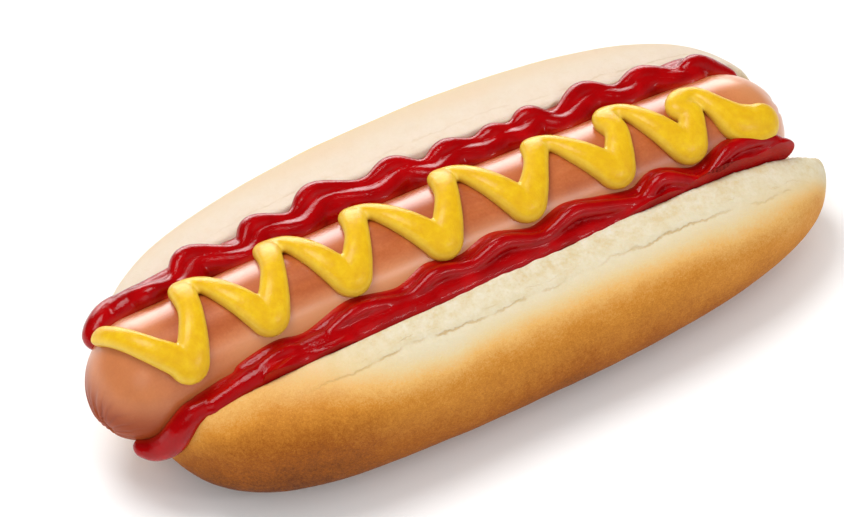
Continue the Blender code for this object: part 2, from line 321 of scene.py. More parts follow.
def drawOut(ball):
    # a ball with its poles at the two ends becomes a capsule along the bent axis
    share = np.arccos(np.clip(ball[:, 2], -1, 1)) / math.pi
    around = np.arctan2(ball[:, 1], ball[:, 0])
    left = sausage["middleX"] - sausage["length"] / 2
    right = sausage["middleX"] + sausage["length"] / 2
    leftEnd = left + bodyRadius(left)
    rightEnd = right - bodyRadius(right)
    onLeft = share < 0.5
    radius = np.where(onLeft, bodyRadius(left), bodyRadius(right))
    fromPole = np.minimum(share, 1 - share)
    inDome = fromPole < sausage["domeShare"]
    arc = np.clip(fromPole / sausage["domeShare"], 0, 1) * math.pi / 2
    flat = (share - sausage["domeShare"]) / (1 - 2 * sausage["domeShare"])
    x = leftEnd + np.clip(flat, 0, 1) * (rightEnd - leftEnd)
    x = np.where(inDome & onLeft, leftEnd - radius * np.cos(arc), x)
    x = np.where(inDome & ~onLeft, rightEnd + radius * np.cos(arc), x)
    reach = np.where(inDome, radius * np.sin(arc), bodyRadius(x))
    y = axisY(x) + np.cos(around) * reach
    z = axisZ(x) + np.sin(around) * reach
    return np.stack([x, y, z], axis=1)


def pinch(points, centre, direction):
    # depth of the pleats that run into a tied end, and how strongly each point belongs to it
    away = points - np.array(centre)
    distance = np.linalg.norm(away, axis=1)
    turn = np.arctan2(away[:, 1], away[:, 2] * direction)
    wander = lumpy(points, *sausage["wanderLumps"]) * sausage["wander"]
    pleat = 0.5 + 0.5 * np.cos(sausage["pleats"] * turn + 2 * wander + 1.1 * np.sin(3 * turn))
    unevenness = 0.35 + 0.65 * (0.5 + 0.5 * np.sin(2 * turn + 0.8 + wander))
    fade = np.exp(-(distance / sausage["pinchReach"]) ** 2)
    beyond = 1 - np.exp(-(distance / sausage["flatReach"]) ** 2)
    dimple = sausage["dimpleDepth"] * np.exp(-(distance / sausage["dimpleReach"]) ** 2)
    return sausage["pinchDepth"] * (pleat**2 * unevenness * fade * beyond + dimple), fade


def paintSkin(link, points):
    x, y, z = points.T
    degrees = np.degrees(np.arctan2(z - axisZ(x), y - axisY(x)))
    # painted light: the near flank, the right end and the top of the left dome are made paler
    side = ease(*sausage["paleFrom"], degrees - sausage["paleTurn"] * np.maximum(x, 0))
    side = side * (1 - ease(*sausage["paleTo"], degrees % 360)) * ease(*sausage["paleStart"], x)
    side = side + climb([sausage["rightPale"]], x)
    atLeft = 1 - ease(*sausage["leftPaleX"], x)
    side = side + sausage["leftPale"] * atLeft * ease(*sausage["leftPaleZ"], z)
    tip = (1 - ease(*sausage["tipX"], x)) * (1 - sausage["tipTop"] * ease(*sausage["tipZ"], z))
    paint(link, "side", np.clip(side, 0, 1))
    paint(link, "tip", tip)


def makeSausage():
    deselectAll()
    bpy.ops.mesh.primitive_uv_sphere_add(
        segments=sausage["sides"], ring_count=sausage["rings"], radius=1.0
    )
    link = bpy.context.object
    link.name = "sausageLink"
    points = drawOut(getPoints(link))
    setPoints(link, points)
    turnOutwards(link)
    paintSkin(link, points)
    leftPleats, leftFade = pinch(points, sausage["pinchLeft"], 1)
    rightPleats, rightFade = pinch(points, sausage["pinchRight"], -1)
    pleats = leftPleats + rightPleats
    swell = sum(height * lumpy(points, size, seed) for height, size, seed in sausage["swells"])
    setPoints(link, points + getNormals(link) * (swell - pleats)[:, None])
    paint(link, "pleat", np.clip(pleats / sausage["pinchDepth"], 0, 1))
    paint(link, "tied", np.maximum(leftFade, rightFade))
    shadeSmooth(link)
    return link


def sausageSkin():
    finish = Finish("sausageSkin")
    stretched = finish.node(
        "ShaderNodeMapping", {}, {"Vector": finish.place(), "Scale": (0.25, 1.0, 1.0)}
    )
    cloud = finish.grain(70, 3)
    streak = finish.grain(260, 3, 0.55, stretched)
    fine = finish.grain(1900, 3, 0.6)
    skin = finish.ramp(0.50 * cloud + 0.30 * streak + 0.20 * fine, sausage["skinTones"])
    # fine creases that run into the tied ends, bumped in and painted darker as shade in them
    parts = addNode(finish.tree, "ShaderNodeSeparateXYZ", {}, {"Vector": finish.place()})
    x, y, z = (Wire(output) for output in parts.outputs)
    creases = 0.0
    for centre in (sausage["pinchLeft"], sausage["pinchRight"]):
        dx, dy, dz = x - centre[0], y - centre[1], z - centre[2]
        away = (dx * dx + dy * dy + dz * dz) ** 0.5
        turn = dy.maths("ARCTAN2", dy, dz)
        swing = 22 * turn + 9.0 * finish.grain(170, 2) + 260 * away
        furrow = (0.5 + 0.5 * swing.maths("SINE", swing)) ** 4
        creases = creases + furrow * (1.0 - finish.band(away, *sausage["creaseReach"]))
    tip = finish.attribute("tip")
    # painted light: the side mask mixes the skin towards the pale tone
    skin = finish.mix((0.8 * finish.attribute("side")).clamp(), skin, shade(*sausage["paintedLightTone"]))
    skin = finish.mix((0.9 * tip).clamp(), skin, shade(*sausage["tipTone"]))
    skin = finish.mix((0.55 * finish.attribute("tied")).clamp(), skin, shade(*sausage["tiedTone"]))
    # painted shade: the pleats and the fine creases are darkened
    paintedCreaseShade = (0.5 * finish.attribute("pleat") + 0.60 * creases).clamp()
    finish.feed({
        "Base Color": finish.mix(paintedCreaseShade, skin, shade(*sausage["creaseShadeTone"])),
        "Roughness": 0.44 + 0.10 * (fine - 0.5), "Specular IOR Level": 0.15,
        "Coat Weight": (0.9 - 0.9 * tip).clamp(), "Coat Roughness": 0.28,
        "Normal": finish.bump(0.5 * streak + 0.5 * fine - 5.0 * creases, 0.16, 0.0004),
        "Subsurface Weight": 0.15, "Subsurface Radius": (1.0, 0.35, 0.18),
        "Subsurface Scale": 0.003,
    })
    return finish


# the bun: a loaf whose near and far halves differ, with a slot cut from the top

bun = {
    "length": 0.154, "waist": 0.0155, "sides": 200, "rings": 150,
    "frontHalfWidth": 0.0332, "frontSplay": 0.050, "frontRise": 0.016,
    "frontPower": 3.0, "frontPowerChange": 6.0, "frontPlan": 3.4, "frontPlanGain": 4.0,
    "backHalfWidth": 0.0380, "backRise": 0.0185, "backPower": 3.0, "backPlan": 2.7,
    "backPlanGain": 10.0, "underGain": 14.0,  # squarer and boxier towards the right end
    "stationPower": 3.0, "sidePower": 3.4, "sidePowerChange": -5.0, "crownSoftening": 12.0,
    "restDepth": 0.0006, "skew": 0.10, "swell": 0.0006, "swellWaves": 52,
    "grain": 0.00068, "smooth": 3,
    # the slot, with straight flanks that touch a round bed under the sausage
    "frontOpening": 0.0173, "frontSpread": 0.030, "frontLip": 0.0305,
    "backOpening": 0.0172, "backSpread": 0.015, "backLip": 0.0322,
    "bedPlay": 0.0004, "flankReach": 0.050,
    "cutterSides": 100, "cutterCuts": 60, "cutterMargin": 0.015,
    "lipX": 0.0765, "lipStations": 160, "lipRun": 0.030, "lipSteps": 240,
    "slotDepth": 0.014, "slotReach": 0.030, "slotLevel": -0.10,
    # size and seed of the lumps, and the heights they give the crust and the crumb
    "slowLumps": (0.030, 11), "midLumps": (0.009, 12), "fineLumps": (0.0025, 13),
    "slowHeight": 0.00024, "midHeight": 0.000105, "crustHeight": 0.00003,
    "crumbHeight": 0.00028, "crumbMidHeight": 0.0002,
    # the torn line: its distance from the lip, how it wanders and comes and goes
    "frontCrack": 0.0066, "backCrack": 0.0030, "crackSlant": 0.022,
    "crackDepth": 0.00030, "crackWidth": 0.00085,
    "crackWander": 0.0011, "wanderLumps": (0.012, 21),
    "crackStrength": 0.60, "crackUnevenness": 0.9, "strengthLumps": (0.020, 23),
    "backCrackShare": 0.40, "crackStart": (-0.055, -0.042), "crackStop": (0.062, 0.074),
    "shelfAbove": 0.0018, "shelfWidth": 0.0022, "shelfHeight": 0.00015, "noCrack": 0.05,
    # how the crust browns below the lip, darkest towards the bottom, partly real browning and partly
    # painted shade: a share of the browning, and where it is gained
    "bakeMiddle": [(0.50, 0.0062, 0.0175), (0.50, 0.012, 0.038)],
    "bakeLeft": [(0.28, 0.0, 0.010), (0.36, 0.005, 0.027)],
    "bakeRight": [(0.52, 0.0035, 0.0110), (0.48, 0.009, 0.032)],
    "bakeBack": [(0.34, 0.013, 0.023), (0.60, 0.018, 0.041)],
    "leftBase": 0.36, "leftTip": 0.09, "leftTipX": (-0.076, -0.060),
    "leftX": (-0.064, -0.022), "rightX": (0.046, 0.076), "nearY": (-0.014, 0.014),
    "slowBake": 0.0028, "midBake": 0.0010, "leftWaver": 0.004,
    "nearSplit": 0.012, "farSplit": 0.030, "blushFrom": (0.006, 0.015), "blushTo": (0.030, 0.046),
    # the darkest crust tones, towards the bottom, are partly painted shade
    "crustAndShadeTones": [
        (0.0, (211, 199, 170)), (0.18, (216, 190, 139)), (0.36, (220, 170, 97)),
        (0.56, (198, 130, 44)), (0.78, (153, 84, 16)), (1.0, (92, 44, 12)),
    ],
    "doughTones": [(0.36, (204, 182, 136)), (0.50, (212, 199, 168)), (0.64, (220, 211, 190))],
    "crumbTones": [(0.30, (212, 190, 150)), (0.50, (224, 210, 182)), (0.70, (230, 222, 202))],
    # the torn tone is painted shade in the crack below each lip
    "farTone": (224, 204, 190), "blushTone": (226, 182, 146), "crackShadeTone": (176, 134, 66),
}


def halfOf(x, y, crown):
    # half width, rise, roundness in section, in plan and of the profile, of the half that y is in
    front = y < 0
    width = np.where(front, bun["frontHalfWidth"] - bun["frontSplay"] * x, bun["backHalfWidth"])
    rise = np.where(front, bun["frontRise"], bun["backRise"])
    power = np.where(front, bun["frontPower"] - bun["frontPowerChange"] * x, bun["backPower"])
    right = np.maximum(x, 0)
    rise = np.where(crown, rise, bun["waist"] + bun["restDepth"])
    power = power + np.where(crown, 0, bun["underGain"] * right)
    side = bun["sidePower"] + bun["sidePowerChange"] * x
    side = side - np.where(front & crown, bun["crownSoftening"] * right, 0)
    frontPlan = bun["frontPlan"] + bun["frontPlanGain"] * right
    plan = np.where(front, frontPlan, bun["backPlan"] + bun["backPlanGain"] * right)
    return width, rise, power, plan, side


def powerRound(along, power):
    return np.maximum(1 - np.abs(along) ** power, 0) ** (1 / power)


def shapeLoaf(ball):
    turn = np.arccos(np.clip(ball[:, 2], -1, 1))
    phi = np.arctan2(ball[:, 1], ball[:, 0])
    c, s = np.cos(phi), np.sin(phi)
    p = bun["stationPower"]
    along = np.cos(turn) * (np.abs(np.cos(turn)) ** p + np.sin(turn) ** p) ** (-1 / p)
    x = along * bun["length"] / 2
    width, rise, power, plan, side = halfOf(x, c, s >= 0)
    reach = (np.abs(c) ** power + np.abs(s) ** power) ** (-1 / power)
    lump = bun["swell"] * np.sin(bun["swellWaves"] * x + 2 * phi) * np.sin(turn)
    y = c * reach * (width + lump) * powerRound(along, plan)
    z = bun["waist"] + s * reach * (rise + lump) * powerRound(along, side)
    return np.stack([x - bun["skew"] * y, y, np.maximum(z, 0)], axis=1)


def loafLevel(x, y, z):
    # below 0 inside the uncut loaf
    station = x + bun["skew"] * y
    along = np.clip(station / (bun["length"] / 2), -0.9999, 0.9999)
    width, rise, power, plan, side = halfOf(station, y, z >= bun["waist"])
    across = np.abs(y) / (width * powerRound(along, plan) + 1e-9)
    up = np.abs(z - bun["waist"]) / (rise * powerRound(along, side) + 1e-9)
    return across**power + up**power - 1


def slotFlanks(x):
    # slopes of the back and the front flank, and the radius of the bed between them
    bed = bodyRadius(x) + bun["bedPlay"]
    back = bun["backOpening"] - bun["backSpread"] * x - axisY(x)
    front = bun["frontOpening"] - bun["frontSpread"] * x + axisY(x)
    slopes = []
    for across, lip in ((back, bun["backLip"]), (front, bun["frontLip"])):
        up = lip - axisZ(x)
        slopes.append(np.arctan2(up, across) + np.arcsin(bed / np.hypot(across, up)))
    return slopes, bed


def slotPoint(x, part):
    # 0 to 1 runs down the back flank, 1 to 2 round the bed and 2 to 3 up the front flank
    (back, front), bed = slotFlanks(x)
    start = back - math.pi / 2
    stop = -math.pi / 2 - front
    if part < 1:
        run = (1 - part) * bun["flankReach"]
        y = math.cos(start) * bed + run * math.cos(back)
        z = math.sin(start) * bed + run * math.sin(back)
    elif part <= 2:
        turn = start + (stop - start) * (part - 1)
        y, z = math.cos(turn) * bed, math.sin(turn) * bed
    else:
        run = (part - 2) * bun["flankReach"]
        y = math.cos(stop) * bed - run * math.cos(front)
        z = math.sin(stop) * bed + run * math.sin(front)
    return x, axisY(x) + y, axisZ(x) + z


def makeSlotCutter():
    deselectAll()
    sides = bun["cutterSides"]
    bpy.ops.mesh.primitive_cylinder_add(vertices=sides, radius=1.0, depth=2.0)
    cutter = bpy.context.object
    bpy.ops.object.mode_set(mode="EDIT")
    bpy.ops.mesh.select_all(action="DESELECT")
    bpy.ops.object.mode_set(mode="OBJECT")
    for edge in cutter.data.edges:
        low, high = (cutter.data.vertices[v].co.z for v in edge.vertices)
        edge.select = abs(low - high) > 1
    bpy.ops.object.mode_set(mode="EDIT")
    bpy.ops.mesh.select_mode(type="EDGE")
    bpy.ops.mesh.subdivide(number_cuts=bun["cutterCuts"])
    bpy.ops.object.mode_set(mode="OBJECT")
    reach = bun["length"] / 2 + bun["cutterMargin"]
    shaped = []
    for p in getPoints(cutter):
        share = (math.atan2(p[1], p[0]) / (2 * math.pi)) % 1.0
        shaped.append(slotPoint(p[2] * reach, 3 * share * sides / (sides - 1)))
    setPoints(cutter, np.array(shaped))
    turnOutwards(cutter)
    return cutter


def lipAt(x, front):
    # y and z of a lip, where its flank comes out of the loaf
    stations = np.linspace(-bun["lipX"], bun["lipX"], bun["lipStations"])
    runs = np.linspace(0, bun["lipRun"], bun["lipSteps"])
    lip = []
    for station in stations:
        (back, ahead), bed = slotFlanks(station)
        slope = ahead if front else back
        start = -math.pi / 2 - ahead if front else back - math.pi / 2
        side = -1 if front else 1
        y = axisY(station) + math.cos(start) * bed + side * runs * math.cos(slope)
        z = axisZ(station) + math.sin(start) * bed + runs * math.sin(slope)
        first = int(np.argmax(loafLevel(station, y, z) > 0))
        lip.append((y[first], z[first]))
    lip = np.array(lip)
    return np.interp(x, stations, lip[:, 0]), np.interp(x, stations, lip[:, 1])


def paintBake(loaf, x, y, fromLip, slow, mid):
    # how far the crust has baked, from the pale split along the top to the brown flanks, its darkest
    # towards the bottom partly painted shade
    run = fromLip + bun["slowBake"] * slow + bun["midBake"] * mid
    middle = climb(bun["bakeMiddle"], run)
    left = bun["leftBase"] + climb(bun["bakeLeft"], run)
    left = left + bun["leftTip"] * (1 - ease(*bun["leftTipX"], x))
    leftShare = 1 - ease(*bun["leftX"], x + bun["leftWaver"] * slow)
    bake = middle + (left - middle) * leftShare
    bake = bake + (climb(bun["bakeRight"], run) - middle) * ease(*bun["rightX"], x)
    back = climb(bun["bakeBack"], run)
    bake = back + (bake - back) * (1 - ease(*bun["nearY"], y))
    pale = np.where(y < 0, 1 - leftShare, 1.0)
    reach = np.where(y < 0, bun["nearSplit"], bun["farSplit"])
    paint(loaf, "bake", np.clip(bake, 0, 1))
    paint(loaf, "split", np.clip(1 - ease(0.0, reach, fromLip), 0, 1) * pale)
    paint(loaf, "far", (y > 0).astype(float))
    blush = ease(*bun["blushFrom"], run) * (1 - ease(*bun["blushTo"], run))
    paint(loaf, "blush", (y > 0) * blush)


def roughenLoaf(loaf):
    points = getPoints(loaf)
    normals = getNormals(loaf)
    x, y, z = points.T
    near = y < 0
    frontY, frontZ = lipAt(x, True)
    backY, backZ = lipAt(x, False)
    lipY = np.where(near, frontY, backY)
    lipZ = np.where(near, frontZ, backZ)
    fromLip = np.hypot(y - lipY, z - lipZ)
    fromAxis = np.hypot(y - axisY(x), z - axisZ(x))
    outside = np.abs(y) > np.abs(lipY)
    inSlot = ~outside & (z > axisZ(x) - bun["slotDepth"]) & (fromAxis < bun["slotReach"])
    inSlot = inSlot & (loafLevel(x, y, z) < bun["slotLevel"])
    slow = lumpy(points, *bun["slowLumps"])
    mid = lumpy(points, *bun["midLumps"])
    fine = lumpy(points, *bun["fineLumps"])
    # torn line below each lip: its distance goes to the material, which draws it thin
    tear = np.where(near, bun["frontCrack"] + bun["crackSlant"] * x, bun["backCrack"])
    alongOnly = np.stack([x, np.where(near, 0.0, 1.0), np.zeros(len(x))], axis=1)
    offLine = fromLip - tear - bun["crackWander"] * lumpy(alongOnly, *bun["wanderLumps"])
    patches = bun["crackUnevenness"] * lumpy(alongOnly, *bun["strengthLumps"])
    strength = np.clip(bun["crackStrength"] + patches, 0.0, 1.0)
    strength = strength * np.where(near, 1.0, bun["backCrackShare"])
    strength = strength * ease(*bun["crackStart"], x) * (1 - ease(*bun["crackStop"], x))
    crack = np.exp(-(offLine / bun["crackWidth"]) ** 2) * strength * outside
    shelf = np.exp(-((offLine + bun["shelfAbove"]) / bun["shelfWidth"]) ** 2) * strength * outside
    crumb = bun["crumbHeight"] * fine + bun["crumbMidHeight"] * mid
    height = bun["slowHeight"] * slow + bun["midHeight"] * mid
    height = height - bun["crackDepth"] * crack + bun["shelfHeight"] * shelf
    height = height + np.where(inSlot, crumb, bun["crustHeight"] * fine)
    points = points + normals * height[:, None]
    points[:, 2] = np.maximum(points[:, 2], 0.0)
    setPoints(loaf, points)
    paint(loaf, "crumb", inSlot.astype(float))
    paint(loaf, "rift", np.where(outside, offLine, bun["noCrack"]))
    paint(loaf, "torn", strength)
    paintBake(loaf, x, y, fromLip, slow, mid)


def makeBun():
    deselectAll()
    bpy.ops.mesh.primitive_uv_sphere_add(
        segments=bun["sides"], ring_count=bun["rings"], radius=1.0
    )
    loaf = bpy.context.object
    loaf.name = "bunLoaf"
    setPoints(loaf, shapeLoaf(getPoints(loaf)))
    turnOutwards(loaf)
    cutter = makeSlotCutter()
    cut = loaf.modifiers.new("slot", "BOOLEAN")
    cut.operation = "DIFFERENCE"
    cut.solver = "EXACT"
    cut.object = cutter
    applyModifiers(loaf)
    bpy.data.objects.remove(cutter, do_unlink=True)
    remesh(loaf, bun["grain"], bun["smooth"])
    roughenLoaf(loaf)
    shadeSmooth(loaf)
    return loaf


def bakedCrust():
    finish = Finish("bakedCrust")
    bake = finish.attribute("bake")
    crumb = finish.attribute("crumb")
    split = finish.attribute("split")
    blotch = finish.grain(90, 3)
    patch = finish.grain(330, 3, 0.6)
    speckle = finish.grain(1300, 3, 0.6)
    fine = finish.grain(3600, 2, 0.6)
    mottle = 0.35 * (patch - 0.5) + 0.55 * (speckle - 0.5) + 0.75 * (fine - 0.5)
    level = bake + 0.14 * (blotch - 0.5) * (0.3 + bake) + mottle * (0.14 + 0.36 * bake)
    # the darkest crust, towards the bottom, is partly painted shade
    crust = finish.ramp(level.clamp(), bun["crustAndShadeTones"])
    dough = finish.ramp(patch * 0.6 + speckle * 0.4, bun["doughTones"])
    dough = finish.mix((0.75 * finish.attribute("far")).clamp(), dough, shade(*bun["farTone"]))
    dough = finish.mix((0.7 * finish.attribute("blush")).clamp(), dough, shade(*bun["blushTone"]))
    topped = finish.mix((0.85 * split * (1.0 - bake)).clamp(), crust, dough)
    # a thin ragged line, with a fainter one beside it where it breaks off, painted darker as shade
    # in the crack
    ragged = 1000 * finish.attribute("rift") + 2.6 * (finish.grain(190, 2) - 0.5)
    ragged = ragged + 1.1 * (finish.grain(900, 2) - 0.5)
    broken = finish.band(finish.grain(150, 2), 0.36, 0.50)
    line = (1.0 - finish.band(abs(ragged), 0.04, 0.45)) * broken
    fainter = (1.0 - finish.band(abs(ragged + 1.7), 0.02, 0.22)) * (1.0 - broken)
    crack = ((line + 0.6 * fainter) * finish.attribute("torn")).clamp()
    # painted shade: the crack lines are darkened
    withCrackShade = finish.mix((0.55 * crack).clamp(), topped, shade(*bun["crackShadeTone"]))
    inner = finish.ramp(finish.grain(520, 4, 0.6), bun["crumbTones"])
    height = 0.5 * speckle + 0.35 * fine + 0.9 * crumb * finish.grain(700, 3) + 0.4 * split * patch
    finish.feed({
        "Base Color": finish.mix(crumb, withCrackShade, inner),
        "Roughness": (0.70 - 0.12 * bake + 0.2 * crumb).clamp(), "Specular IOR Level": 0.12,
        "Normal": finish.bump(height - 0.8 * crack, 0.40, 0.0005),
        "Subsurface Weight": 0.10, "Subsurface Radius": (1.0, 0.5, 0.2),
        "Subsurface Scale": 0.002,
    })
    return finish


# beads of sauce: strands that melt together

bead = {
    "roundness": 6, "tipAngles": (8, 20, 35, 50, 70, 90), "leastTip": 0.06, "steps": 8,
    "acrossPart": 0.7885, "upPart": 0.615,  # of y and of z, in a distance across the groove
}


def makeTube(name, path, radii):
    # a round strand along the path, with its own thickness at every point and rounded ends
    rows = np.array([(*place, radius) for place, radius in zip(path, radii)])
    steps = np.linalg.norm(np.diff(rows[:, :3], axis=0), axis=1)
    run = np.concatenate([[0], np.cumsum(steps)])
    turns = 1 - np.cos(np.radians(bead["tipAngles"]))
    more = np.concatenate([turns * rows[0, 3], run[-1] - turns * rows[-1, 3]])
    places = np.unique(np.concatenate([run, more[(more > 0) & (more < run[-1])]]))
    rows = np.stack([np.interp(places, run, rows[:, k]) for k in range(4)], axis=1)
    fromEnd = np.minimum(places / rows[0, 3], (places[-1] - places) / rows[-1, 3])
    dome = np.sqrt(1 - (1 - np.clip(fromEnd, 0, 1)) ** 2)
    rows[:, 3] *= np.maximum(dome, bead["leastTip"])
    deselectAll()
    bpy.ops.curve.primitive_nurbs_path_add(radius=0.01)
    strand = bpy.context.object
    strand.name = name
    curve = strand.data
    curve.splines.clear()
    curve.bevel_depth = 1.0
    curve.bevel_resolution = bead["roundness"]
    curve.use_fill_caps = True
    line = curve.splines.new("POLY")
    line.points.add(len(rows) - 1)
    for point, row in zip(line.points, rows):
        point.co = (*row[:3], 1.0)
        point.radius = row[3]
    makeActive(strand)
    bpy.ops.object.convert(target="MESH")
    strand = bpy.context.object
    strand.matrix_world.identity()
    return strand


def smoothPath(corners):
    # Catmull-Rom through rows of numbers
    rows = [np.array(row, float) for row in corners]
    rows = [2 * rows[0] - rows[1]] + rows + [2 * rows[-1] - rows[-2]]
    path = []
    for a, b, c, d in zip(rows, rows[1:], rows[2:], rows[3:]):
        for i in range(bead["steps"]):
            t = i / bead["steps"]
            first = 2 * b + (c - a) * t + (2 * a - 5 * b + 4 * c - d) * t**2
            path.append(0.5 * first + 0.5 * (3 * b - a - 3 * c + d) * t**3)
    path.append(rows[-2])
    return path


def groovePoint(x, across, z):
    # a point over the groove at height z, this far across it along the slope of its top
    return Vector((x, (across - bead["upPart"] * z) / bead["acrossPart"], z))


def laidOnSkin(rows):
    # rows of place along the sausage, angle round it, lift off the skin and radius
    return [(*onSkin(x, degrees, lift), radius) for x, degrees, lift, radius in rows]


# ketchup between the sausage and either half of the bun

ketchup = {
    "grain": 0.00034, "smooth": 4,
    "lipPlay": 0.0003, "lipFrom": (-0.066, -0.058),  # the near bead stops at the lip
    "thinLift": (0.0002, 0.0012),
    "tones": [(0.30, (142, 0, 2)), (0.55, (157, 0, 3)), (0.75, (172, 3, 7))],
    "thinTone": (186, 48, 26),
}
farKetchup = {
    # crests and dips of the outer edge by turns: place along the sausage, distance across
    "edge": [
        (-0.067, 0.0317), (-0.0615, 0.0313), (-0.056, 0.0357), (-0.046, 0.0320),
        (-0.0405, 0.0362), (-0.0325, 0.0338), (-0.0255, 0.0376), (-0.0155, 0.0342),
        (-0.008, 0.0363), (-0.002, 0.0330), (0.004, 0.0352), (0.010, 0.0332), (0.0145, 0.0344),
        (0.019, 0.0331), (0.0235, 0.0349), (0.0285, 0.0317), (0.0365, 0.0351), (0.043, 0.0318),
        (0.0495, 0.0334), (0.0565, 0.0301), (0.061, 0.0312),
    ],
    "fall": 0.02,  # lower towards the right end
    "crestRadius": 0.0026, "dipRadius": 0.0016, "rimHeight": 0.0326, "rimInset": 0.0001,
    "bodyShift": 0.0014, "bodyAcross": 0.0294, "bodyFollow": 0.7, "edgeMiddle": 0.0345,
    "bodyHeight": 0.0314, "bodyRadius": 0.0030,
    # tails at both ends: place, angle round the sausage, lift and radius
    "left": [(-0.0822, 26, 0.0004, 0.0024), (-0.0781, 21, 0.0013, 0.0035),
             (-0.0725, 18, 0.0024, 0.0035)],
    "right": [(0.0655, 26, 0.0010, 0.0026), (0.0692, 22, 0.0004, 0.0016)],
    "fillingStart": (-0.0800, 14, 0.0002, 0.0022), "fillingEnd": (0.0660, 26, 0.0006, 0.0024),
    "fillingX": (-0.073, 0.060, 20), "fillingAngle": 22, "fillingLift": 0.0016,
    "liftGain": 0.0010, "gainOver": 0.012,
    "fillingRadius": 0.0036, "fillingWave": 0.0003, "waves": 900,
}
nearKetchup = {
    "edge": [
        (-0.0610, 0.0068), (-0.0565, 0.0085), (-0.0505, 0.0095), (-0.044, 0.0084),
        (-0.033, 0.0113), (-0.0225, 0.0096), (-0.0145, 0.0118), (-0.007, 0.0106),
        (0.001, 0.0123), (0.0095, 0.0102), (0.0175, 0.0123), (0.0240, 0.0110), (0.0325, 0.0092),
        (0.0385, 0.0115), (0.047, 0.0082), (0.0555, 0.0116), (0.0640, 0.0105),
    ],
    "fall": 0.10, "fallFrom": 0.045,
    # the wave's rim, the body beside it and a strand beneath, that closes the gap to the skin
    "rimInset": 0.0015, "rimHeight": 0.0298, "rimClimb": 0.8, "rimLevel": 0.0068,
    "rimRadius": 0.0012, "rimSwell": 0.14, "thinEdge": 0.0080,
    "bodyShift": 0.0036, "bodyAcross": 0.0062, "bodyFollow": 0.85, "edgeMiddle": 0.0105,
    "bodyHeight": 0.0290, "bodySink": 0.30, "bodyRadius": 0.0021,
    "underLift": 0.0003, "underRadius": 0.0018,
    # the drip over the left end, and the right end: x, y, z and radius
    "drip": [
        (-0.0824, -0.0080, 0.0150, 0.0016), (-0.0793, -0.0109, 0.0150, 0.0026),
        (-0.0765, -0.0130, 0.0176, 0.0031), (-0.0744, -0.0139, 0.0214, 0.0031),
        (-0.0718, -0.0140, 0.0242, 0.0029), (-0.0680, -0.0143, 0.0253, 0.0024),
        (-0.0635, -0.0143, 0.0262, 0.0020),
    ],
    "right": [(0.0690, -0.0128, 0.0242, 0.0019)],
    # the filling down in the groove
    "fillingX": (-0.070, 0.070, 26), "fillingY": 0.0142, "fillingLift": 0.0034,
    "fillingRadius": 0.0033, "fillingWave": 0.0002, "waves": 700,
    "slimShare": 0.55, "slimOver": 0.020, "sag": 0.25, "sagFrom": -0.060,
    # a seal low on the skin and a film under the wave's edge
    "sealX": (-0.0715, 0.068, 36), "sealAngle": 168, "sealTurn": 800, "sealFrom": -0.062,
    "sealLift": 0.0006, "sealRadius": 0.0020,
    "filmAngle": 143, "filmTurn": 4900, "filmLevel": 0.0118, "filmShift": 0.001,
    "filmSink": 0.0008, "filmRadius": 0.0013,
}


def makeKetchup(name, strands, atLip):
    # each strand is a list of x, y, z, radius
    things = []
    for i, rows in enumerate(strands):
        path = smoothPath(rows)
        places = [Vector(row[:3]) for row in path]
        things.append(makeTube(name + str(i), places, [row[3] for row in path]))
    makeActive(things[0])
    for thing in things[1:]:
        thing.select_set(True)
    bpy.ops.object.join()
    sauce = bpy.context.object
    sauce.name = name
    remesh(sauce, ketchup["grain"], ketchup["smooth"])
    points = getPoints(sauce)
    x, y, z = points.T
    if atLip:
        edge = lipAt(x, True)[0] + ketchup["lipPlay"]
        along = ease(*ketchup["lipFrom"], x)
        points[:, 1] = np.where(y < edge, y + (edge - y) * along, y)
        setPoints(sauce, points)
    lift = np.hypot(y - axisY(x), z - axisZ(x)) - skinReach(x)
    paint(sauce, "thin", 1 - ease(*ketchup["thinLift"], lift))
    shadeSmooth(sauce)
    return sauce


def makeFarKetchup():
    far = farKetchup
    rim, body = [], []
    for i, (x, edge) in enumerate(far["edge"]):
        fall = far["fall"] * max(x, 0)
        radius = far["crestRadius"] if i % 2 == 0 else far["dipRadius"]
        across = edge - radius + far["rimInset"]
        rim.append((*groovePoint(x, across, far["rimHeight"] - fall), radius))
        across = far["bodyAcross"] + far["bodyFollow"] * (edge - far["edgeMiddle"])
        place = groovePoint(x + far["bodyShift"], across, far["bodyHeight"] - fall)
        body.append((*place, far["bodyRadius"]))
    filling = [far["fillingStart"]]
    for x in np.linspace(*far["fillingX"]):
        gain = min(max((x - far["fillingX"][0]) / far["gainOver"], 0), 1)
        lift = far["fillingLift"] + far["liftGain"] * gain
        radius = far["fillingRadius"] + far["fillingWave"] * math.sin(x * far["waves"])
        filling.append((x, far["fillingAngle"], lift, radius))
    filling.append(far["fillingEnd"])
    left = laidOnSkin(far["left"])
    strands = [left + rim + laidOnSkin(far["right"]), left + body[1:], laidOnSkin(filling)]
    return makeKetchup("ketchupBackBead", strands, False)


